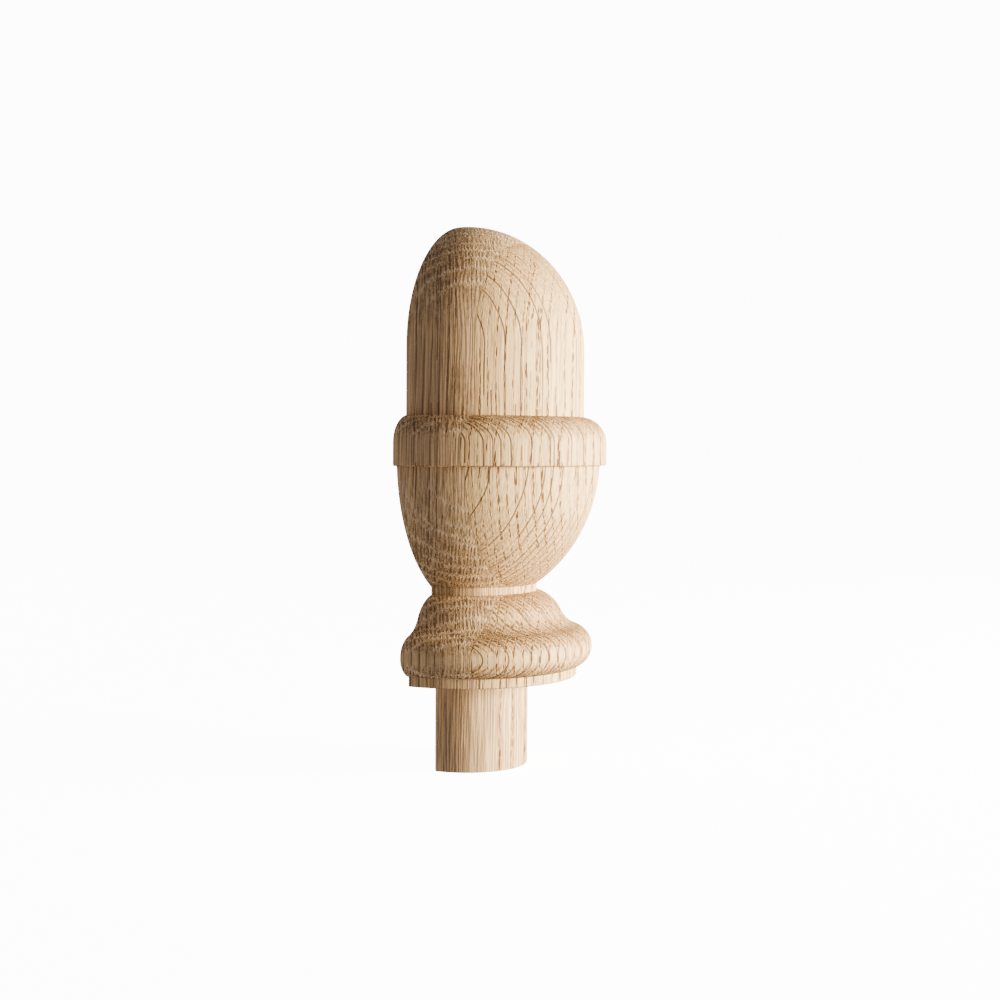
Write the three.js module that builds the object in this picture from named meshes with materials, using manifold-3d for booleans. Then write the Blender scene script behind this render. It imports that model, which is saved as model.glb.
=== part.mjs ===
// Half acorn newel cap: a turned oak cap, sawn in half along its turning axis.
//
// Millimetres, Z up. The turning axis is the Z axis and the round front bulges towards -Y.
// The sawn back lies in the plane y = 0, and z = 0 is the shoulder that seats on the newel,
// so the half-round spigot hangs below it. The whole cap is one piece of turned wood.

import * as THREE from "three";
import { mergeVertices } from "three/addons/utils/BufferGeometryUtils.js";
import Module from "manifold-3d";

// Driving sizes, from the spigot up to the tip of the acorn
const spigotDiameter = 35.4;
const spigotLength = 25.8;

const footDiameter = 63.6; // plain disc whose underside is the shoulder
const footHeight = 2.7;

const beadProud = 4.4; // how far the half-round bead stands out past the foot
const beadRadius = 5.9;

const coveRadius = 8.2; // hollow that runs smoothly from the bead into the ovolo above it
const ovoloRadius = 10.5;
const ovoloInset = 2.4; // how far the ovolo's centre lies inside the surface of the neck

const neckDiameter = 40.2;
const neckFromShoulder = 24.3;
const neckHeight = 2.0; // the narrow flat fillet under the cup

const cupHeight = 34.0; // from the top of the neck to the underside of the collar
const cupCrest = 2.4; // how far above that underside the cup would be at its widest

const collarDiameter = 80;
const collarLip = 1.85; // step from the cup's widest out to the collar
const collarEase = 0.5; // eased lower corner of the collar
const collarFace = 6.2; // straight face, from the underside to where the rounding starts
const collarRound = 7.6; // radius of the rounding over the collar's top

const domeLedge = 6.55; // from the collar's face in to the side of the dome
const domeStraight = 18.7;
const domeCrown = 35.6; // height of the elliptical crown

const oakColour = "#d8bc93";
const oakRoughness = 0.65;

// Fineness of the faceted solid
const facetsAround = 72;
const facetTurn = THREE.MathUtils.degToRad(8);
const sawMargin = 5; // how far the saw cut runs past the cap on every side

// Radii and heights worked out from the driving sizes
const footRadius = footDiameter / 2;
const neckRadius = neckDiameter / 2;
const collarRadius = collarDiameter / 2;
const cupRadius = collarRadius - collarLip;
const domeRadius = collarRadius - domeLedge;
const neckTop = neckFromShoulder + neckHeight;
const collarBottom = neckTop + cupHeight;
const roundStart = collarBottom + collarFace;

// The half section: (radius, height) points from the bottom of the axis to the top of it
const section = [];

function addPoint(radius, height) {
  section.push(new THREE.Vector2(radius, height));
}

// Adds a stretch of an ellipse, or of a circle where both reaches are alike. Angles are in
// radians from straight out, positive upwards.
function addArc(centre, reachOut, reachUp, from, to) {
  const steps = Math.max(2, Math.ceil(Math.abs(to - from) / facetTurn));
  const clockwise = to < from;
  const curve = new THREE.EllipseCurve(centre.x, centre.y, reachOut, reachUp, from, to, clockwise);
  section.push(...curve.getPoints(steps));
}

// Centre of the circle that touches two others from outside, on their outer, upper side
function touchingCentre(lower, lowerReach, upper, upperReach) {
  const between = upper.clone().sub(lower);
  const distance = between.length();
  const along = (distance ** 2 + lowerReach ** 2 - upperReach ** 2) / (2 * distance);
  const aside = Math.sqrt(lowerReach ** 2 - along ** 2);
  const direction = between.divideScalar(distance);
  const sideways = new THREE.Vector2(direction.y, -direction.x);
  return lower.clone().addScaledVector(direction, along).addScaledVector(sideways, aside);
}

function addSpigot() {
  addPoint(0, -spigotLength);
  addPoint(spigotDiameter / 2, -spigotLength);
  addPoint(spigotDiameter / 2, 0);
}

// Foot disc, half-round bead, hollow and ovolo, each tangent to the one before
function addBase() {
  const beadCentre = new THREE.Vector2(footRadius + beadProud - beadRadius, 0);
  const beadRise = Math.sqrt(beadRadius ** 2 - (footRadius - beadCentre.x) ** 2);
  beadCentre.y = footHeight + beadRise;
  const ovoloDrop = Math.sqrt(ovoloRadius ** 2 - ovoloInset ** 2);
  const ovoloCentre = new THREE.Vector2(neckRadius - ovoloInset, neckFromShoulder - ovoloDrop);
  const coveCentre = touchingCentre(
    beadCentre, beadRadius + coveRadius, ovoloCentre, ovoloRadius + coveRadius,
  );
  const beadStart = Math.atan2(-beadRise, footRadius - beadCentre.x);
  const beadToCove = coveCentre.clone().sub(beadCentre);
  const ovoloToCove = coveCentre.clone().sub(ovoloCentre);
  const beadEnd = Math.atan2(beadToCove.y, beadToCove.x);
  const ovoloStart = Math.atan2(ovoloToCove.y, ovoloToCove.x);
  const ovoloEnd = Math.atan2(ovoloDrop, ovoloInset);
  addPoint(footRadius, 0);
  addArc(beadCentre, beadRadius, beadRadius, beadStart, beadEnd);
  addArc(coveCentre, coveRadius, coveRadius, beadEnd - Math.PI, ovoloStart - Math.PI);
  addArc(ovoloCentre, ovoloRadius, ovoloRadius, ovoloStart, ovoloEnd);
}

// The cup is a stretch of an ellipse that leaves the neck's top edge and is upright at its crest
function addCup() {
  const crestHeight = collarBottom + cupCrest;
  const leaveAngle = -Math.acos(neckRadius / cupRadius);
  const cupReachUp = (neckTop - crestHeight) / Math.sin(leaveAngle);
  const collarAngle = -Math.asin(cupCrest / cupReachUp);
  addArc(new THREE.Vector2(0, crestHeight), cupRadius, cupReachUp, leaveAngle, collarAngle);
}

// The collar's top is a round that ends where it meets the side of the dome
function addCollarAndDome() {
  const quarterTurn = Math.PI / 2;
  const easeCentre = new THREE.Vector2(collarRadius - collarEase, collarBottom + collarEase);
  const roundCentre = new THREE.Vector2(collarRadius - collarRound, roundStart);
  const reachIn = domeRadius - roundCentre.x;
  const roundRise = Math.sqrt(collarRound ** 2 - reachIn ** 2);
  const domeBottom = roundStart + roundRise;
  const crownCentre = new THREE.Vector2(0, domeBottom + domeStraight);
  addArc(easeCentre, collarEase, collarEase, -quarterTurn, 0);
  addArc(roundCentre, collarRound, collarRound, 0, Math.atan2(roundRise, reachIn));
  addArc(crownCentre, domeRadius, domeCrown, 0, quarterTurn);
}

// Drops the points that repeat the one before, and sets the ends exactly on the axis
function tidySection(points) {
  const nearestApart = 0.001;
  const kept = points.filter((point, i) => i === 0 || point.distanceTo(points[i - 1]) > nearestApart);
  kept[0].x = 0;
  kept[kept.length - 1].x = 0;
  return kept;
}

// Turns a closed three.js geometry into a solid that can be cut
function toSolid(wasm, geometry) {
  const bare = geometry.clone();
  bare.deleteAttribute("normal");
  bare.deleteAttribute("uv");
  const merged = mergeVertices(bare);
  const corners = merged.index.array;
  const triangles = [];
  for (let i = 0; i < corners.length; i += 3) {
    const [a, b, c] = corners.slice(i, i + 3);
    if (a !== b && b !== c && c !== a) {
      triangles.push(a, b, c);
    }
  }
  return new wasm.Manifold(new wasm.Mesh({
    numProp: 3,
    vertProperties: new Float32Array(merged.attributes.position.array),
    triVerts: new Uint32Array(triangles),
  }));
}

function toGeometry(solid) {
  const mesh = solid.getMesh();
  const geometry = new THREE.BufferGeometry();
  geometry.setAttribute("position", new THREE.BufferAttribute(mesh.vertProperties, 3));
  geometry.setIndex(new THREE.BufferAttribute(mesh.triVerts, 1));
  geometry.computeVertexNormals();
  return geometry;
}

// The cap as it leaves the lathe, standing along Z
function turnedCap() {
  addSpigot();
  addBase();
  addCup();
  addCollarAndDome();
  const lathe = new THREE.LatheGeometry(tidySection(section), facetsAround);
  return lathe.rotateX(Math.PI / 2);
}

// The waste half behind the plane y = 0, which the saw takes away
function wasteHalf(cap) {
  cap.computeBoundingBox();
  const size = cap.boundingBox.getSize(new THREE.Vector3());
  const middle = cap.boundingBox.getCenter(new THREE.Vector3());
  const depth = size.y / 2 + sawMargin;
  const box = new THREE.BoxGeometry(size.x + 2 * sawMargin, depth, size.z + 2 * sawMargin);
  return box.translate(middle.x, depth / 2, middle.z);
}

const wasm = await Module();
wasm.setup();

const wholeCap = turnedCap();
const halfCap = toSolid(wasm, wholeCap).subtract(toSolid(wasm, wasteHalf(wholeCap)));

const oak = new THREE.MeshStandardMaterial({
  color: oakColour,
  roughness: oakRoughness,
  metalness: 0,
});

const cap = new THREE.Mesh(toGeometry(halfCap), oak);
cap.name = "half_acorn_cap";

const group = new THREE.Group();
group.add(cap);

export default group;
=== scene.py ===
# %% [markdown]
# Half acorn newel cap in bare oak
#
# This lesson dresses one solid: an acorn cap for a stair post, turned on a lathe from a glued-up
# oak blank and then sawn in half along its axis, so that it can stand against a wall.
# The solid model fixes every size. The scene reads it, makes a finer turned body in the same
# place, and gives it a wood that runs right through the body, as real wood does.

# %% Load the solid model
import math

import bmesh
import bpy
from mathutils import Matrix, Vector


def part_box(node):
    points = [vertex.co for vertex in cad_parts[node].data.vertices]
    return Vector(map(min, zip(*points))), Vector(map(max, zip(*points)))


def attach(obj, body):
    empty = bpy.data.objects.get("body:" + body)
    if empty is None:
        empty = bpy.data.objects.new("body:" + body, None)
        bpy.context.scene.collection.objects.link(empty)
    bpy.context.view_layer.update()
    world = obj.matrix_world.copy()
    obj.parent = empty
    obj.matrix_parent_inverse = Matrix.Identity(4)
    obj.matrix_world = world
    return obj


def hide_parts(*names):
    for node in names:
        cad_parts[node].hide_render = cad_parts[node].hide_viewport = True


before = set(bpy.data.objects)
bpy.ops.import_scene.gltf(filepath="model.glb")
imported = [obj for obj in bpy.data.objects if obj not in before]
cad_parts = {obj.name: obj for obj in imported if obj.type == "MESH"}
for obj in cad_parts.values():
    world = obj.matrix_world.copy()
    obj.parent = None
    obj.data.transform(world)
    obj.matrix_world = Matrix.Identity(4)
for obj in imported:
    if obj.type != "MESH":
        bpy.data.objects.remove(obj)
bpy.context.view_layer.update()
cap_low, cap_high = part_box("half_acorn_cap")
MM = 0.001
print("solid from", [round(v, 4) for v in cap_low], "to", [round(v, 4) for v in cap_high])

# %% [markdown]
# The sizes of the turned shape
#
# A turner works from a rod: a stick with the heights and diameters of every member marked on it.
# These are the same marks as in the solid model, in millimetres, with the height counted from the
# shoulder that sits on the post. The overall length and the widest member are read from the
# solid's box, so the body can't drift away from it.

# %% Marks on the rod
COLLAR_RADIUS = cap_high.x / MM
SPIGOT_LENGTH = -cap_low.z / MM
TIP_HEIGHT = cap_high.z / MM
SPIGOT_RADIUS = 17.7
FOOT_RADIUS = 31.8
FOOT_HEIGHT = 2.7
BEAD_PROUD = 4.4
BEAD_RADIUS = 5.9
COVE_RADIUS = 8.2
OVOLO_RADIUS = 10.5
OVOLO_INSET = 2.4
NECK_RADIUS = 20.1
NECK_FROM_SHOULDER = 24.3
NECK_HEIGHT = 2.0
CUP_HEIGHT = 34.0
CUP_CREST = 2.4
COLLAR_LIP = 1.85
COLLAR_EASE = 0.5
COLLAR_FACE = 6.2
COLLAR_ROUND = 7.6
DOME_LEDGE = 6.55
DOME_CROWN = 35.6
neck_top = NECK_FROM_SHOULDER + NECK_HEIGHT
collar_bottom = neck_top + CUP_HEIGHT
cup_radius = COLLAR_RADIUS - COLLAR_LIP
dome_radius = COLLAR_RADIUS - DOME_LEDGE
print("collar radius", round(COLLAR_RADIUS, 2), "tip at", round(TIP_HEIGHT, 2))

# %% [markdown]
# Drawing the half section
#
# The turned surface is one line swept round the axis. The line could be a long list of points,
# but a turner thinks in members: a straight, a bead, a hollow. So the line grows from its last
# vertex. A straight stretch extrudes that vertex, and a round stretch spins it about the centre
# of the member, which gives a true arc. An arc that is then scaled upwards is a true ellipse.

# %% A pen that draws straights and arcs
QUARTER_TURN = math.pi / 2
ARC_STEP = math.radians(3.5)


class SectionPen:
    """Draws the section in the plane y = 0, in millimetres, from the bottom of the axis up."""

    def __init__(self, mesh, radius, height):
        self.mesh = mesh
        self.last = mesh.verts.new((radius, 0, height))

    def line_to(self, radius, height):
        grown = bmesh.ops.extrude_vert_indiv(self.mesh, verts=[self.last])
        self.last = grown["verts"][0]
        self.last.co = (radius, 0, height)

    def arc(self, centre, turn, rise=1.0):
        """Turns about a centre by an angle; rise stretches the arc upwards into an ellipse."""
        steps = max(2, math.ceil(abs(turn) / ARC_STEP))
        before = set(self.mesh.verts)
        pivot = Vector((centre[0], 0, centre[1]))
        self.last.co.z = pivot.z + (self.last.co.z - pivot.z) / rise
        spun = bmesh.ops.spin(
            self.mesh, geom=[self.last], cent=pivot, axis=(0, -1, 0), angle=turn, steps=steps
        )
        drawn = [v for v in self.mesh.verts if v not in before] + [self.last]
        bmesh.ops.scale(
            self.mesh, vec=(1, 1, rise), space=Matrix.Translation(-pivot), verts=drawn
        )
        self.last = [g for g in spun["geom_last"] if isinstance(g, bmesh.types.BMVert)][0]


def bearing(start, end):
    """Angle of the line from one point to another, in radians from straight out."""
    return math.atan2(end[1] - start[1], end[0] - start[0])


# %% [markdown]
# Beads, hollows and ovolos that flow into each other
#
# The foot carries a half-round bead. A hollow rolls out of the bead into the round-shouldered
# ovolo above it, with no corner anywhere. That only works if the hollow's circle touches both of
# its neighbours, so its centre is worked out where two circles cross, as with a pair of compasses.

# %% Centre of the hollow
def touching_centre(lower, lower_reach, upper, upper_reach):
    """Centre of the circle that touches two others from outside, on their outer, upper side."""
    low, high = Vector(lower), Vector(upper)
    between = high - low
    along = (between.length_squared + lower_reach**2 - upper_reach**2) / (2 * between.length)
    aside = math.sqrt(lower_reach**2 - along**2)
    direction = between.normalized()
    return low + direction * along + Vector((direction.y, -direction.x)) * aside


bead_rise = math.sqrt(BEAD_RADIUS**2 - (BEAD_RADIUS - BEAD_PROUD) ** 2)
bead_centre = (FOOT_RADIUS + BEAD_PROUD - BEAD_RADIUS, FOOT_HEIGHT + bead_rise)
ovolo_drop = math.sqrt(OVOLO_RADIUS**2 - OVOLO_INSET**2)
ovolo_centre = (NECK_RADIUS - OVOLO_INSET, NECK_FROM_SHOULDER - ovolo_drop)
cove_centre = touching_centre(
    bead_centre, BEAD_RADIUS + COVE_RADIUS, ovolo_centre, OVOLO_RADIUS + COVE_RADIUS
)
print("hollow's centre at radius", round(cove_centre.x, 2), "height", round(cove_centre.y, 2))

# %% [markdown]
# The lower half of the section, from the spigot to the neck
#
# One small thing is added to what the solid has. Sandpaper has broken the sharp corners of the
# spigot and the foot, so each gets a tiny round.

# %% Draw the spigot, the foot and the base mouldings
SANDED_CORNER = 0.35
body = bmesh.new()
pen = SectionPen(body, 0, -SPIGOT_LENGTH)
pen.line_to(SPIGOT_RADIUS - SANDED_CORNER, -SPIGOT_LENGTH)
pen.arc((SPIGOT_RADIUS - SANDED_CORNER, SANDED_CORNER - SPIGOT_LENGTH), QUARTER_TURN)
pen.line_to(SPIGOT_RADIUS, 0)
pen.line_to(FOOT_RADIUS - SANDED_CORNER, 0)
pen.arc((FOOT_RADIUS - SANDED_CORNER, SANDED_CORNER), QUARTER_TURN)
pen.line_to(FOOT_RADIUS, FOOT_HEIGHT)

bead_start = bearing(bead_centre, (FOOT_RADIUS, FOOT_HEIGHT))
bead_end = bearing(bead_centre, cove_centre)
ovolo_start = bearing(ovolo_centre, cove_centre)
ovolo_end = bearing(ovolo_centre, (NECK_RADIUS, NECK_FROM_SHOULDER))
pen.arc(bead_centre, bead_end - bead_start)
pen.arc(cove_centre, ovolo_start - bead_end)
pen.arc(ovolo_centre, ovolo_end - ovolo_start)
pen.line_to(NECK_RADIUS, neck_top)
print("base of", len(body.verts), "points, up to", round(pen.last.co.z, 2))

# %% [markdown]
# The upper half, from the cup to the tip
#
# The cup is a stretch of an ellipse that would be at its widest a little above the collar's
# underside. The collar's top is a round that runs in until it meets the straight side of the dome,
# and the dome's crown is a quarter of an ellipse.

# %% Draw the cup, the collar and the dome
crest_height = collar_bottom + CUP_CREST
cup_leave = math.acos(NECK_RADIUS / cup_radius)
cup_rise = (crest_height - neck_top) / (math.sin(cup_leave) * cup_radius)
cup_stop = math.asin(CUP_CREST / (cup_rise * cup_radius))
pen.arc((0, crest_height), cup_leave - cup_stop, rise=cup_rise)
pen.line_to(COLLAR_RADIUS - COLLAR_EASE, collar_bottom)
pen.arc((COLLAR_RADIUS - COLLAR_EASE, collar_bottom + COLLAR_EASE), QUARTER_TURN)

round_start = collar_bottom + COLLAR_FACE
round_in = dome_radius - (COLLAR_RADIUS - COLLAR_ROUND)
pen.line_to(COLLAR_RADIUS, round_start)
pen.arc((COLLAR_RADIUS - COLLAR_ROUND, round_start), math.acos(round_in / COLLAR_ROUND))
pen.line_to(dome_radius, TIP_HEIGHT - DOME_CROWN)
pen.arc((0, TIP_HEIGHT - DOME_CROWN), QUARTER_TURN, rise=DOME_CROWN / dome_radius)
pen.last.co.x = 0
print("section of", len(body.verts), "points, up to", round(pen.last.co.z, 3))

# %% [markdown]
# Turn it
#
# A line becomes a turned surface with a full spin about the axis, welded where it meets itself.
# The paper that the cap stands on is made later by the same two functions. The cap is drawn in
# millimetres, so its points are welded when they lie within half a thousandth of one.

# %% Spin a line round the axis, and make a mesh into an object
TURN_STEPS = 240
WELD_REACH = 0.0005


def turn_whole(mesh, steps, weld_reach):
    """Sweeps all that is drawn once round the z axis, welds it and faces it outwards."""
    bmesh.ops.spin(
        mesh,
        geom=mesh.verts[:] + mesh.edges[:],
        cent=(0, 0, 0),
        axis=(0, 0, 1),
        angle=math.tau,
        steps=steps,
        use_merge=True,
    )
    bmesh.ops.remove_doubles(mesh, verts=mesh.verts[:], dist=weld_reach)
    bmesh.ops.recalc_face_normals(mesh, faces=mesh.faces[:])


def smooth_object(name, mesh):
    """Puts a finished mesh into the scene as a smooth object, and frees the drawing of it."""
    data = bpy.data.meshes.new(name)
    mesh.to_mesh(data)
    mesh.free()
    data.shade_smooth()
    made = bpy.data.objects.new(name, data)
    bpy.context.scene.collection.objects.link(made)
    return made


turn_whole(body, TURN_STEPS, WELD_REACH)
print("whole cap of", len(body.faces), "faces")

# %% [markdown]
# Then saw it in half
#
# The saw is one cut by a plane. It leaves two sharp edges all round the flat. A touch of sandpaper
# has eased them, which an inset with a little depth gives: the flat is cut slightly short and then
# brought up to its true plane inside a narrow bevel. Last, the body is drawn in by one part in a
# hundred thousand, so that rounding can't push it past the solid's box.

# %% Cut and close
SAWN_EASE = 0.12
HAIR_INSIDE = 0.99999
sawn = bmesh.ops.bisect_plane(
    body,
    geom=body.verts[:] + body.edges[:] + body.faces[:],
    plane_co=(0, -SAWN_EASE, 0),
    plane_no=(0, 1, 0),
    clear_outer=True,
)
rim = [g for g in sawn["geom_cut"] if isinstance(g, bmesh.types.BMEdge)]
flat = bmesh.ops.contextual_create(body, geom=rim)["faces"]
bmesh.ops.recalc_face_normals(body, faces=body.faces[:])
bmesh.ops.inset_region(
    body, faces=flat, thickness=SAWN_EASE, depth=SAWN_EASE, use_even_offset=True
)
body_scale = MM * HAIR_INSIDE
bmesh.ops.scale(body, vec=(body_scale, body_scale, body_scale), verts=body.verts[:])
print("half body of", len(body.faces), "faces, closed:", all(e.is_manifold for e in body.edges))

# %% [markdown]
# The piece
#
# The body rides on the part's only body, takes the solid's place in the picture and wears its
# oak. Edges sharper than thirty degrees stay crisp, and all others are shaded smooth.

# %% Make it a piece
SHARP_ANGLE = math.radians(30)
cap = smooth_object("turned_half_acorn", body)
cap.data.set_sharp_from_angle(angle=SHARP_ANGLE)
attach(cap, "root")
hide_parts("half_acorn_cap")

# %% [markdown]
# A wood that runs through the body
#
# Real wood isn't painted on. Growth rings are tubes about the heart of the tree, pores are fine
# tubes that run up the trunk, and rays are thin ribbons that stand out from the heart. A lathe
# only uncovers them, which is why the rays draw arches on the dome and ovals on the bead. So the
# material is solid: it reads the place of each point in the body and asks which ring, pore or ray
# lies there. Writing that as shader nodes by hand is hard to read, so one small class lets a node
# output be used like a number.

# %% Shader maths as expressions
class Wire:
    """An output socket of a shader tree that can be used in sums like a number."""

    def __init__(self, socket):
        self.socket = socket

    def node(self, kind, settings, sockets, output=0):
        """Adds a node: its settings first, then the value or link of each socket."""
        tree = self.socket.id_data
        made = tree.nodes.new(kind)
        for name, value in settings.items():
            setattr(made, name, value)
        for name, value in sockets.items():
            if isinstance(value, Wire):
                tree.links.new(value.socket, made.inputs[name])
            else:
                made.inputs[name].default_value = value
        return Wire(made.outputs[output])

    def feed(self, socket):
        """Links this wire to an input socket."""
        self.socket.id_data.links.new(self.socket, socket)

    def maths(self, operation, *others):
        """Any operation of the math node, with this wire as its first operand."""
        operands = dict(enumerate((self, *others)))
        return self.node("ShaderNodeMath", {"operation": operation}, operands)

    def __add__(self, other):
        return self.maths("ADD", other)

    def __sub__(self, other):
        return self.maths("SUBTRACT", other)

    def __mul__(self, other):
        return self.maths("MULTIPLY", other)

    def __truediv__(self, other):
        return self.maths("DIVIDE", other)

    def __abs__(self):
        return self.maths("ABSOLUTE")

    def __rsub__(self, other):
        return self * -1 + other

    __radd__ = __add__
    __rmul__ = __mul__

    def root(self):
        return self.maths("SQRT")

    def or_more(self, other):
        """The greater of the two."""
        return self.maths("MAXIMUM", other)

    def or_less(self, other):
        """The lesser of the two."""
        return self.maths("MINIMUM", other)

    def above(self, low, high):
        """0 up to low and 1 from high on, with a soft change between them."""
        settings = {"interpolation_type": "SMOOTHSTEP"}
        return self.node("ShaderNodeMapRange", settings, {0: self, 1: low, 2: high})

    def below(self, low, high):
        """1 up to low and 0 from high on, with a soft change between them."""
        return 1 - self.above(low, high)

    def from_least(self, least):
        """A share from 0 to 1, squeezed so that it starts at a least value instead of 0."""
        return least + (1 - least) * self

    def mix(self, low, high):
        """Between two values or wires, by this wire as the share of the second."""
        return self * high + (1 - self) * low

    def tint(self, low, high):
        """Between two colours, by this wire as the share of the second."""
        settings = {"data_type": "RGBA", "clamp_factor": True}
        return self.node("ShaderNodeMix", settings, {0: self, 6: low, 7: high}, output=2)

    def scaled(self, factor):
        """This wire's vector or colour, times a number or a wire."""
        sockets = {"Vector": self, "Scale": factor}
        return self.node("ShaderNodeVectorMath", {"operation": "SCALE"}, sockets)

    def parts(self):
        """The three parts of this wire's vector."""
        return [self.node("ShaderNodeSeparateXYZ", {}, {0: self}, output=i) for i in range(3)]


# %% [markdown]
# Chance, made from noise
#
# No two rings, pores or rays are alike. Each takes its share of chance from a noise, read at a
# point whose three parts are places in the wood divided by how slowly the chance changes there.
# So noise(at(out / 0.5, aside / 0.9, z / 8)) makes flecks half a millimetre thick, just under one
# wide and eight tall. Asking where it is above(0.40, 0.62) then turns the chance into stretches
# where a line is missing and stretches where it is full, with soft ends between them.

# %% Points, noises and cells
def at(x, y, z):
    """A point in the texture's own space, from three wires or numbers."""
    first = next(w for w in (x, y, z) if isinstance(w, Wire))
    return first.node("ShaderNodeCombineXYZ", {}, {0: x, 1: y, 2: z})


def noise(place, detail=0.0):
    """Soft random value from 0 to 1 that changes over about one unit of the place."""
    sockets = {"Vector": place, "Scale": 1.0, "Detail": detail}
    return place.node("ShaderNodeTexNoise", {"noise_dimensions": "3D"}, sockets)


def sway(place, detail=0.0):
    """The same noise, about 0 instead of 0.5."""
    return noise(place, detail) - 0.5


def cells(place):
    """Distance to the nearest of scattered points, about one to a unit cube."""
    sockets = {"Vector": place, "Scale": 1.0, "Randomness": 1.0}
    return place.node("ShaderNodeTexVoronoi", {"voronoi_dimensions": "3D"}, sockets)


# %% [markdown]
# Two boards, two hearts
#
# The blank was glued up from two boards, and the glue line stands upright behind the front of
# the dome. Each board came from its own place in a tree, so each has its own heart: a point in
# plan, outside the cap, that its rings go round and its rays point to. The front board grew
# close to its heart, so its rings are curved and its rays fan out. The back board grew far from
# it, and its rings are nearly flat.
#
# Three things are read for each board: how far outward a point lies, how far aside, and how
# squarely the surface there cuts the rays. A thin ray that is cut at a glance smears out into a
# broad band. Dividing its distance by the squareness keeps it a line of one width.

# %% Where the hearts were
GLUE_LINE = -18.2
LEAST_SQUARENESS = 0.15


class Board:
    """One board of the blank: its heart in plan, and where its rings are counted from."""

    def __init__(self, bearing_degrees, distance, first_ring):
        self.angle = math.radians(bearing_degrees)
        self.distance = distance
        self.heart = (distance * math.cos(self.angle), distance * math.sin(self.angle))
        self.first_ring = first_ring

    def read(self, x, y, facing):
        """Distance outward past the axis, distance aside along the rings, and squareness."""
        across = x - self.heart[0]
        up = y - self.heart[1]
        reach = (across * across + up * up).root()
        ahead = across * -math.cos(self.angle) + up * -math.sin(self.angle)
        sideways = across * -math.sin(self.angle) + up * math.cos(self.angle)
        outward = reach - self.distance
        aside = sideways.maths("ARCTAN2", ahead) * self.distance
        along_rings = (facing[1] * across - facing[0] * up) / reach
        squareness = (1 - along_rings * along_rings).root().or_more(LEAST_SQUARENESS)
        return outward, aside, squareness


FRONT = Board(bearing_degrees=126, distance=75, first_ring=8.2)
BACK = Board(bearing_degrees=126, distance=400, first_ring=-10.35)
print("hearts at", [[round(v, 1) for v in board.heart] for board in (FRONT, BACK)])

# %% [markdown]
# Reading the surface
#
# Where the surface leans, the lathe has cut across the fibres, and where it lies level it shows
# pure end grain. Both change how the wood looks, so both are read from the slope.

# %% Start the oak, and read the place and the slope of the surface
GLUE_SOFTNESS = 0.05
CROSS_CUT_SLOPE = (0.10, 0.75)
END_GRAIN_SLOPE = (0.55, 1.0)
oak = bpy.data.materials.new("bare_oak")
oak.use_nodes = True
tree = oak.node_tree
shader = tree.nodes["Principled BSDF"]
coordinates = tree.nodes.new("ShaderNodeTexCoord")
x, y, z = Wire(coordinates.outputs["Object"]).scaled(1 / MM).parts()
facing = Wire(coordinates.outputs["Normal"]).parts()
slope = abs(facing[2])
cross_cut = slope.above(*CROSS_CUT_SLOPE)
end_grain = slope.above(*END_GRAIN_SLOPE)
in_front = y.below(GLUE_LINE - GLUE_SOFTNESS, GLUE_LINE + GLUE_SOFTNESS)

# %% [markdown]
# Nothing in a tree is quite straight
#
# Rings swell and pinch, and rays wander round the pores. A slow wave and a quick one push the
# coordinates of both boards about by a few tenths of a millimetre. The tree also tapered, so the
# rings lean a little, by so many millimetres for each one of height.

# %% Waves
TAPER = 0.014
TAPER_CENTRE = 50
SLOW_REACH = 0.8
QUICK_REACH = 0.5
FRONT_RAY_REACH = 0.7
BACK_RAY_REACH = 1.2
slow_wave = sway(at(x * 0.04, y * 0.04, z * 0.02), detail=1.0)
quick_wave = sway(at(x * 0.2, y * 0.2, z * 0.07), detail=1.0)
ray_wave = sway(at(y * 0.13, x * 0.13, z * 0.05), detail=1.0)
wander = slow_wave * SLOW_REACH + quick_wave * QUICK_REACH - (z - TAPER_CENTRE) * TAPER
front_out, front_aside, front_square = FRONT.read(x, y, facing)
back_out, back_aside, back_square = BACK.read(x, y, facing)
front_out = front_out + wander
back_out = back_out + wander
front_aside = front_aside + ray_wave * FRONT_RAY_REACH
back_aside = back_aside + ray_wave * BACK_RAY_REACH

# %% [markdown]
# Rows and sheets
#
# Rings, rays and fibres all come in rows, so one function counts them off and gives the distance
# to the nearest. A row's number, times some odd factor, later picks its own part of a noise, so
# that each row is strong or faint by itself. Single lines that stand out are given one by one,
# each as a sheet at its place with a low and a high end, in millimetres.

# %% Count rows, and find the nearest sheet
END_TAPER = 0.1


def rows(coordinate, first, spacing):
    """Number of the nearest of evenly spaced rows, and the distance from it."""
    turns = (coordinate - first) / spacing
    number = turns.maths("ROUND")
    return number, abs((turns - number) * spacing)


def nearest_sheet(coordinate, sheets):
    """Distance to the nearest of some upright sheets, which thin out past their ends."""
    nearest = None
    for place, low, high in sheets:
        beyond = abs(z - (low + high) / 2) - (high - low) / 2
        distance = abs(coordinate - place).or_more(beyond * END_TAPER)
        nearest = distance if nearest is None else nearest.or_less(distance)
    return nearest


# %% [markdown]
# The front board: dotted rings
#
# Each spring an oak lays down a row of wide pores. The front board shows those rows nearly edge
# on, as reddish broken lines, strong in some years and faint in others. Some are bold on one
# member of the cap only. Finer lines of fibre and short dark dashes lie between the rows.
#
# Every width here is a pair: how far from its middle a line is solid, and where it has faded out.

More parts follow.
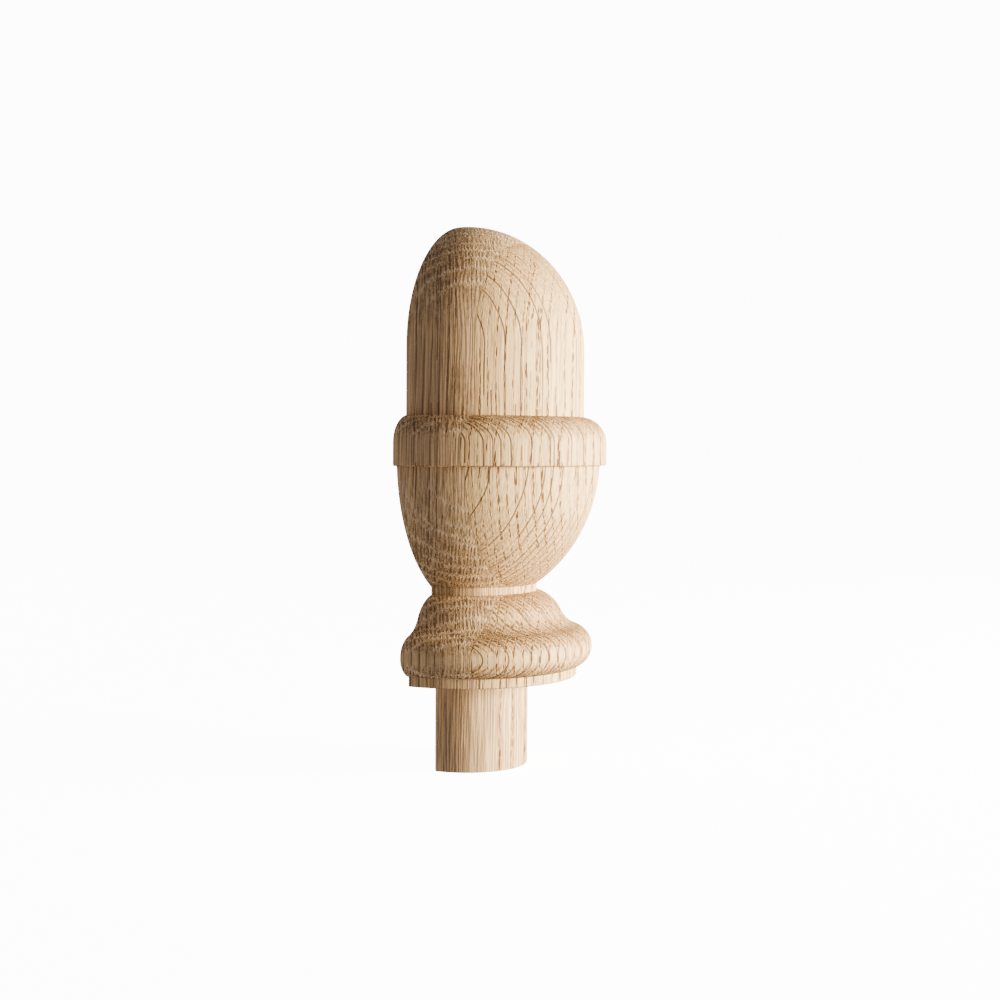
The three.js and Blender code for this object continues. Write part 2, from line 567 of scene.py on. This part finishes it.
# %% Rows of spring pores, and lines of fibre
RING_WIDTH = 2.05
ROW_WIDTH = (0.14, 0.40)
BOLD_ROW_WIDTH = (0.22, 0.50)
LEAST_ROW_STRENGTH = 0.52
PORE_SIZE = (0.42, 0.62, 3.0)
PORE_WIDTH = (0.38, 0.56)
BOLD_ROWS = [
    # dome
    (17.4, 74, 114), (19.95, 74, 100),
    # collar
    (20.6, 58, 72), (26.7, 58, 74),
    # cup
    (12.35, 44, 60), (16.4, 38, 60), (20.5, 40, 60), (22.6, 36, 60),
    # bead
    (12.35, 4, 14), (14.35, 4, 14), (16.4, 4, 15), (18.45, 4, 14), (20.5, 4, 15),
]
ring, from_ring = rows(front_out, FRONT.first_ring, RING_WIDTH)
ring_strength = noise(at(ring * 5.3, z / 35, front_aside / 15), detail=1.0).above(0.36, 0.6)
bold_row = nearest_sheet(front_out, BOLD_ROWS).below(*BOLD_ROW_WIDTH)
spring_row = from_ring.below(*ROW_WIDTH) * ring_strength.from_least(LEAST_ROW_STRENGTH)
spring_row = spring_row.or_more(bold_row)


def pores(out, aside):
    """The pores of a board: tubes that run up the trunk, and show as slots where cut open."""
    thick, wide, tall = PORE_SIZE
    return cells(at(out / thick, aside / wide, z / tall)).below(*PORE_WIDTH)


front_pores = pores(front_out, front_aside) * spring_row
dashes = noise(at(front_out / 0.5, front_aside / 0.9, z / 8)).above(0.68, 0.76)

LINE_SPACING = 0.68
LINE_WIDTH = (0.08, 0.22)
LINE_WANDER = 0.9
line_wave = noise(at(front_out / 2, front_aside / 4, z / 11)) * LINE_WANDER
line, from_line = rows(front_out + line_wave, 0.0, LINE_SPACING)
line_strength = noise(at(line * 2.9, z / 26, front_aside / 6)).above(0.40, 0.62)
front_lines = from_line.below(*LINE_WIDTH) * line_strength
print("front board:", len(BOLD_ROWS), "bold rows of pores")

# %% [markdown]
# The front board: drawn rays
#
# The rays of this board are cut across, so they are hair lines: long arches on the dome, bows on
# the cup and ovals on the bead. A few of them are bold, and each of those runs only part of the
# way up the cap, as real rays do. Between the bold ones, fine rays a millimetre apart hatch the
# wood wherever the lathe cut across them, most of all on the base and on the collar's rounding.

# %% Bold rays
RAY_WIDTH = (0.11, 0.24)
BOLD_RAYS = [
    # from the cup up to the tip
    (12.4, 26, 128), (22.6, 28, 128), (26.4, 42, 128),
    # dome
    (20.8, 90, 128), (28.7, 72, 128), (31.2, 80, 128),
    # collar
    (19.4, 58, 76), (27.2, 62, 76), (30.4, 62, 80), (33.4, 58, 76), (34.6, 58, 76),
    (35.6, 58, 76), (36.7, 44, 76), (38.6, 62, 76),
    # cup
    (10.6, 26, 44), (16.4, 26, 46), (18.2, 26, 44), (21.2, 26, 44), (24.8, 26, 60),
    (29.2, 28, 60), (34.4, 34, 60),
    # base and cup
    (14.4, 8, 44), (19.7, 8, 46),
    # base
    (11.4, 0, 24), (23.7, -1, 25), (26.9, -1, 25), (30.2, -1, 25), (33.65, -1, 14),
]
bold_rays = (nearest_sheet(front_aside, BOLD_RAYS) / front_square).below(*RAY_WIDTH)
print("front board:", len(BOLD_RAYS), "bold rays")

# %% Fine rays that hatch the wood between them
FINE_RAY_SPACING = 0.95
FINE_RAY_WIDTH = (0.18, 0.36)
BROAD_RAY_FIRST = 0.7
BROAD_RAY_SPACING = 2.1
BROAD_RAY_WIDTH = (0.16, 0.34)
FINE_RAY_WANDER = 0.5
LEAST_FINE_STRENGTH = 0.45
LEAST_IN_ROWS = 0.35
fine_wave = noise(at(front_out / 3, front_aside / 2.5, z / 9)) * FINE_RAY_WANDER
fine_ray, from_fine_ray = rows(front_aside + fine_wave, 0.0, FINE_RAY_SPACING)
fine_strength = noise(at(fine_ray * 2.7, front_out / 6, z / 6)).above(0.35, 0.65)
fine_rays = (from_fine_ray / front_square).below(*FINE_RAY_WIDTH)
fine_rays = fine_rays * fine_strength.from_least(LEAST_FINE_STRENGTH)
broad_ray, from_broad_ray = rows(front_aside + fine_wave, BROAD_RAY_FIRST, BROAD_RAY_SPACING)
broad_strength = noise(at(broad_ray * 3.9, front_out / 9, z / 9)).above(0.38, 0.58)
broad_rays = (from_broad_ray / front_square).below(*BROAD_RAY_WIDTH) * broad_strength
between_rows = from_ring.above(0.25, 0.60)
fine_rays = fine_rays.or_more(broad_rays) * between_rows.from_least(LEAST_IN_ROWS)

# %% Where the hatching is strong
MOULDED_SLOPE = (0.05, 0.45)
BASE_TOP = (24, 30)
ROUNDING_BOTTOM = (66, 68)
ROUNDING_TOP = (74, 76)
ROUNDING_SHARE = 0.8
LEAST_HATCHING = 0.10
CROSS_CUT_HATCHING = 0.62
MOULDED_HATCHING = 0.40
rounding = z.above(*ROUNDING_BOTTOM) * z.below(*ROUNDING_TOP)
moulded = slope.above(*MOULDED_SLOPE) * (z.below(*BASE_TOP) + rounding * ROUNDING_SHARE)
hatching = LEAST_HATCHING + cross_cut * CROSS_CUT_HATCHING + moulded * MOULDED_HATCHING

# %% [markdown]
# The back board: dark rings
#
# The rings of the back board are dark upright lines, and a few of them are bold. Between them
# run hair-thin lines of fibre, some lighter and some darker than the wood.

# %% Rings of the back board
RING_LINE_WIDTH = (0.05, 0.17)
BOLD_RING_WIDTH = (0.07, 0.18)
BOLD_RINGS = [
    # dome
    (-6.3, 60, 128), (-8.0, 70, 128), (-11.0, 90, 128), (-16.5, 95, 128),
    # cup and collar
    (-12.3, 24, 76), (-15.9, 26, 60),
    # spigot and base
    (-10.4, -26, 76), (-14.3, -26, 14), (-16.5, 0, 24),
]
back_ring, from_back_ring = rows(back_out, BACK.first_ring, RING_WIDTH)
back_strength = noise(at(back_ring * 3.7, z / 30, back_aside / 25), detail=1.0).above(0.42, 0.66)
bold_rings = nearest_sheet(back_out, BOLD_RINGS).below(*BOLD_RING_WIDTH)
dark_ring = (from_back_ring.below(*RING_LINE_WIDTH) * back_strength).or_more(bold_rings)
back_lines = sway(at(back_out / 0.34, back_aside / 2, z / 22), detail=1.0)
print("back board:", len(BOLD_RINGS), "bold rings")

# %% [markdown]
# The back board: pale ray rows, with ribs between
#
# This board turns its rays flat towards the left of the cap. There each ray is cut at a glancing
# angle and shows as a pale bubbly row, and the wood between two rows is ribbed with fine dark
# dashes. A row's width, measured across the rays, shrinks with the squareness of the cut, so that
# it keeps about one width on the surface. Its edge is a pair of shares of that width. The row is
# scalloped where it meets the ribs, and bubbly and ragged all along. Two rays on the cup are long
# and placed one by one.

# %% Ribs and ray rows
RIB_SPACING = 1.05
RIB_WIDTH = (0.14, 0.36)
RAY_ROW_FIRST = 22.3
RAY_ROW_SPACING = 2.45
ROW_EDGE = (0.6, 1.0)
RIB_WANDER = 1.6
LEAST_RIB_STRENGTH = 0.35
SCALLOP_REACH = 1.8
BUBBLE_REACH = 1.3
RAG_REACH = 0.8
LONG_RAYS = [(33.1, 38, 54), (36.4, 46, 58)]
rib_wave = noise(at(back_out / 2.4, back_aside / 4, z / 14)) * RIB_WANDER
rib, from_rib = rows(back_out + rib_wave, 0.0, RIB_SPACING)
bubbles = sway(at(back_out / 1.3, back_aside / 2, z / 2))
ragged = sway(at(back_out / 0.40, back_aside / 0.8, z / 0.8))
scallops = from_rib * SCALLOP_REACH + bubbles * BUBBLE_REACH + ragged * RAG_REACH
rough_aside = back_aside + scallops * (0.10 + back_square)
ray, from_ray = rows(rough_aside, RAY_ROW_FIRST, RAY_ROW_SPACING)
rib_strength = noise(at(rib * 3.3, z / 18, ray * 1.9 * cross_cut)).above(0.28, 0.56)
ribs = from_rib.below(*RIB_WIDTH) * rib_strength.from_least(LEAST_RIB_STRENGTH)

LEAST_ROW_WIDTH = 0.02
FULL_ROW_WIDTH = 0.60
RAY_ROW_SLOPE = (0.16, 0.42)
apparent_width = LEAST_ROW_WIDTH + back_square * FULL_ROW_WIDTH
ray_strength = noise(at(ray * 4.1, z / 9, back_out / 12), detail=1.0).above(0.30, 0.42)
pale_row = (from_ray / apparent_width).below(*ROW_EDGE) * ray_strength
pale_row = pale_row * slope.above(*RAY_ROW_SLOPE)
long_row = (nearest_sheet(rough_aside, LONG_RAYS) / apparent_width).below(*ROW_EDGE)
pale_row = pale_row.or_more(long_row)

# %% [markdown]
# The spigot, and a freckled patch
#
# The spigot lies near the axis, where the back board shows close threads and three rows of pores.
# On the straight side of the dome one ray lies right in the surface, and shows as a brown
# freckled patch.

# %% Spigot threads, pore rows and the flake
THREAD_SPACING = 0.80
THREAD_WIDTH = (0.10, 0.26)
THREAD_WANDER = 0.7
NEAR_AXIS = (18, 24)
SPIGOT_ROW_WIDTH = (0.15, 0.80)
FLAKE_WIDTH = (0.12, 0.32)
SPIGOT_ROWS = [(9.1, -26, 0), (12.8, -26, 0), (17.1, -26, 0)]
FLAKES = [(33.3, 74, 85)]
near_axis = (x * x + y * y).root().below(*NEAR_AXIS)
thread_wave = noise(at(back_out / 1.5, back_aside / 3, z / 5)) * THREAD_WANDER
thread, from_thread = rows(back_out + thread_wave, 0.0, THREAD_SPACING)
thread_strength = noise(at(thread * 2.3, z / 12, 0.0)).above(0.34, 0.60)
threads = from_thread.below(*THREAD_WIDTH) * thread_strength * near_axis
spigot_row = nearest_sheet(back_out, SPIGOT_ROWS).below(*SPIGOT_ROW_WIDTH)
back_pores = pores(back_out, back_aside) * spigot_row
freckles = noise(at(back_out / 0.40, back_aside / 1.5, z / 2.2), detail=1.0).above(0.38, 0.60)
flake = nearest_sheet(back_aside + bubbles * 0.5, FLAKES).below(*FLAKE_WIDTH) * freckles

# %% [markdown]
# What both boards share
#
# Fine fibre runs up the whole cap. Where it is cut across, the wood is speckled, and pale specks
# are painted into it as glints of small ray cells: a painted highlight. The tone changes slowly
# from place to place.

# %% Fibre, speckle, painted glints and tone
fibre = sway(at(x / 0.4, y / 0.4, z / 14), detail=1.0)
speckle = sway(at(x / 0.42, y / 0.42, z / 0.6), detail=1.0) * cross_cut.from_least(0.25)
# Painted highlight: pale specks where the wood is cut across, painted into the colour as glints.
painted_glints = noise(at(x / 0.5, y / 0.5, z / 0.5)).above(0.64, 0.74) * cross_cut
tone = sway(at(x / 6, y / 6, z / 50), detail=1.0)

# %% [markdown]
# The oak's colours
#
# Bare sanded oak is a pale straw brown. Its pores look dark because they are open grooves with
# shadow in them, its rays are a shade darker than the wood beside them where they are cut across,
# and wherever the lathe has cut across the fibres the wood takes more light in and looks browner.

# %% Colours, as linear light
STRAW = (0.840, 0.565, 0.275, 1.0)
CROSS_CUT_STRAW = (0.620, 0.385, 0.178, 1.0)
LINE = (0.430, 0.230, 0.092, 1.0)
SPRING_WOOD = (0.520, 0.290, 0.125, 1.0)
PORE = (0.200, 0.090, 0.034, 1.0)
RAY = (0.220, 0.118, 0.052, 1.0)
DASH = (0.380, 0.200, 0.090, 1.0)
BACK_STRAW = (0.740, 0.480, 0.246, 1.0)
RIB = (0.290, 0.158, 0.082, 1.0)
DARK_RING = (0.220, 0.115, 0.060, 1.0)
PALE_RAY = (0.790, 0.530, 0.300, 1.0)
THREAD = (0.420, 0.250, 0.140, 1.0)
# The colour of the painted glints, a painted highlight.
PAINTED_GLINT = (0.900, 0.680, 0.420, 1.0)
FLAKE = (0.360, 0.180, 0.080, 1.0)
GLUE = (0.360, 0.215, 0.105, 1.0)

# %% [markdown]
# Coats of colour
#
# The colour is built up in coats. Each coat is a share, which says where it lies and how thickly,
# and a colour. What lies on top goes on last: the pores on the front board, the pale rays on the
# back board, and the glue line over both.

# %% Put the colour together
GLUE_WIDTH = (0.06, 0.18)
LINE_CONTRAST = 1.5
FIBRE_CONTRAST = 0.9
TONE_CONTRAST = 0.15
END_GRAIN_SHADE = 0.12
BRIGHTEST = 1.25


def coated(base, *coats):
    """A base colour with coats over it, each a share and a colour."""
    for share, colour in coats:
        base = share.tint(base, colour)
    return base


front_wood = coated(
    cross_cut.tint(STRAW, CROSS_CUT_STRAW),
    (front_lines * (0.58 - cross_cut * 0.36), LINE),
    (spring_row * (0.56 - cross_cut * 0.20), SPRING_WOOD),
    (fine_rays * hatching, RAY),
    (dashes * (1 - cross_cut) * 0.35, DASH),
    (bold_rays * 0.95, RAY),
    (front_pores, PORE),
)
back_wood = coated(
    (cross_cut * 0.8).tint(BACK_STRAW, CROSS_CUT_STRAW),
    (ribs * (0.28 + 0.64 * cross_cut) * (1 - near_axis), RIB),
    (threads * 0.85, THREAD),
    (spigot_row * 0.75, SPRING_WOOD),
    (back_pores, PORE),
    (flake * 0.5, FLAKE),
    (dark_ring * (0.8 - near_axis * 0.35), DARK_RING),
    (pale_row * 0.92, PALE_RAY),
)
glue = abs(y - GLUE_LINE).below(*GLUE_WIDTH)
wood = coated(
    in_front.tint(back_wood, front_wood),
    # Painted highlight: the glint specks go over both boards.
    (painted_glints * 0.6, PAINTED_GLINT),
    (glue * 0.75, GLUE),
)
bright = 1 + back_lines * LINE_CONTRAST * (1 - in_front) + fibre * FIBRE_CONTRAST + speckle
bright = bright + tone * TONE_CONTRAST - end_grain * END_GRAIN_SHADE
wood.scaled(bright.or_less(BRIGHTEST)).feed(shader.inputs["Base Color"])

# %% [markdown]
# Relief and sheen
#
# Pores and dark lines are shallow grooves, and the pale rays stand a little proud, because they
# are harder than the wood about them. Each of these is under a tenth of a millimetre.

# %% Grooves and sheen
PORE_DEPTH = 0.08
BOLD_RAY_DEPTH = 0.04
FINE_RAY_DEPTH = 0.05
PALE_RAY_HEIGHT = 0.06
RIB_DEPTH = 0.03
RING_DEPTH = 0.05
FIBRE_HEIGHT = 0.05
SPECKLE_HEIGHT = 0.08
LEAST_ROUGHNESS = 0.6
PORE_ROUGHNESS = 0.2
CROSS_CUT_ROUGHNESS = 0.1
BARE_SHEEN = 0.2
front_relief = front_pores * -PORE_DEPTH - bold_rays * BOLD_RAY_DEPTH
front_relief = front_relief - fine_rays * hatching * FINE_RAY_DEPTH
back_relief = pale_row * PALE_RAY_HEIGHT - ribs * RIB_DEPTH - dark_ring * RING_DEPTH
height = in_front.mix(back_relief, front_relief)
height = height + fibre * FIBRE_HEIGHT + speckle * SPECKLE_HEIGHT
bump = height.node("ShaderNodeBump", {}, {"Height": height, "Strength": 1.0, "Distance": MM})
bump.feed(shader.inputs["Normal"])
roughness = LEAST_ROUGHNESS + front_pores * PORE_ROUGHNESS + cross_cut * CROSS_CUT_ROUGHNESS
roughness.feed(shader.inputs["Roughness"])
shader.inputs["Specular IOR Level"].default_value = BARE_SHEEN
cap.data.materials.append(oak)
print("oak made of", len(tree.nodes), "nodes")

# %% [markdown]
# The paper it stands on
#
# The cap stands on the end of its spigot on white paper. The paper is one wide round bowl, flat in
# the middle and curved up at the rim, so that no edge or corner shows behind the cap from any
# side. It glows like a light table, so that it stays white without more lamps. Only the camera
# sees it, so it neither lights nor shades the cap. It is drawn in metres.

# %% Paper
PAPER_FLAT = 1.5
PAPER_CURVE = 1.5
PAPER_TURN = math.radians(80)
PAPER_STEPS_UP = 24
PAPER_STEPS_ROUND = 96
PAPER_WELD = 0.0001
PAPER_GLOW = 6.0
sheet = bmesh.new()
middle_point = sheet.verts.new((0, 0, cap_low.z))
edge_point = bmesh.ops.extrude_vert_indiv(sheet, verts=[middle_point])["verts"][0]
edge_point.co.x = PAPER_FLAT
bmesh.ops.spin(
    sheet,
    geom=[edge_point],
    cent=(PAPER_FLAT, 0, cap_low.z + PAPER_CURVE),
    axis=(0, -1, 0),
    angle=PAPER_TURN,
    steps=PAPER_STEPS_UP,
)
turn_whole(sheet, PAPER_STEPS_ROUND, PAPER_WELD)
floor = smooth_object("white_paper", sheet)
floor.visible_diffuse = False
floor.visible_glossy = False
floor.visible_shadow = False
paper = bpy.data.materials.new("white_paper")
paper.use_nodes = True
paper_shader = paper.node_tree.nodes["Principled BSDF"]
paper_shader.inputs["Base Color"].default_value = (0.85, 0.85, 0.85, 1)
paper_shader.inputs["Roughness"].default_value = 0.9
paper_shader.inputs["Emission Color"].default_value = (1, 1, 1, 1)
paper_shader.inputs["Emission Strength"].default_value = PAPER_GLOW
paper.cycles.emission_sampling = "NONE"
floor.data.materials.append(paper)
print("paper of", len(floor.data.polygons), "faces")

# %% [markdown]
# Camera
#
# The camera stands level with the collar and far round to the left of the cap's front, so that
# the near edge of the sawn flat is the left outline of the picture. Its offset is counted from the
# axis at the height of the shoulder, before the camera is turned round to its bearing.

# %% Place the camera
CAMERA_BEARING = math.radians(-61.12)
CAMERA_PITCH = math.radians(2.174)
CAMERA_ROLL = math.radians(0.293)
CAMERA_OFFSET = Vector((9.39, -450.12, 67.17)) * MM
FOCAL_SHARE = 1.55728
SENSOR_WIDTH = 36.0
camera_data = bpy.data.cameras.new("camera")
camera_data.sensor_width = SENSOR_WIDTH
camera_data.lens = FOCAL_SHARE * SENSOR_WIDTH
camera_data.clip_start = 0.01
camera = bpy.data.objects.new("camera", camera_data)
bpy.context.scene.collection.objects.link(camera)
camera.matrix_world = (
    Matrix.Rotation(CAMERA_BEARING, 4, "Z")
    @ Matrix.Translation(CAMERA_OFFSET)
    @ Matrix.Rotation(QUARTER_TURN - CAMERA_PITCH, 4, "X")
    @ Matrix.Rotation(CAMERA_ROLL, 4, "Z")
)
bpy.context.scene.camera = camera
print("camera at", [round(v, 3) for v in camera.matrix_world.translation])

# %% [markdown]
# Light
#
# One large soft light, slightly warm, stands to the right of the camera, so the bright side rolls
# off into a shade on the left. Very little light comes back from the other side: a weak light
# from the wall's side, which the sawn back faces, and the faint cool bounce of the paper under the
# shaded edge. The bounce is close to the cap, so it is hidden from the camera.

# %% Lights
AIM_HEIGHT = 0.05


def soft_light(name, azimuth, lift, distance, size, power, colour):
    """A square light that looks at the cap's middle, from an azimuth in degrees from +X."""
    data = bpy.data.lights.new(name, "AREA")
    data.size = size
    data.energy = power
    data.color = colour
    light = bpy.data.objects.new(name, data)
    bpy.context.scene.collection.objects.link(light)
    light.matrix_world = (
        Matrix.Translation((0, 0, AIM_HEIGHT))
        @ Matrix.Rotation(math.radians(azimuth), 4, "Z")
        @ Matrix.Rotation(-math.radians(lift), 4, "Y")
        @ Matrix.Translation((distance, 0, 0))
        @ Matrix.Rotation(QUARTER_TURN, 4, "Y")
    )
    return light


soft_light(
    "key", azimuth=-67, lift=2, distance=1.0, size=0.45, power=51, colour=(1.0, 0.98, 0.89)
)
soft_light("wall_side", azimuth=90, lift=0, distance=1.0, size=0.6, power=8, colour=(1, 1, 1))
bounce = soft_light(
    "paper_bounce", azimuth=-168, lift=-35, distance=0.16, size=0.12, power=0.02,
    colour=(0.92, 0.98, 1.0),
)
bounce.visible_camera = False

# %% [markdown]
# The room
#
# The room lights the shade with a faint cool light. To a camera that looks past the paper it is
# white like the paper, which takes a second strength for what the camera sees directly.

# %% World and picture
ROOM_COLOUR = (0.96, 0.98, 1.15, 1)
AMBIENT = 0.23
BACKDROP = 8.0
world = bpy.context.scene.world or bpy.data.worlds.new("world")
bpy.context.scene.world = world
world.use_nodes = True
room = world.node_tree.nodes["Background"]
room.inputs["Color"].default_value = ROOM_COLOUR
seen_directly = Wire(world.node_tree.nodes.new("ShaderNodeLightPath").outputs["Is Camera Ray"])
seen_directly.mix(AMBIENT, BACKDROP).feed(room.inputs["Strength"])

view = bpy.context.scene.view_settings
view.view_transform = "AgX"
view.look = "AgX - Medium High Contrast"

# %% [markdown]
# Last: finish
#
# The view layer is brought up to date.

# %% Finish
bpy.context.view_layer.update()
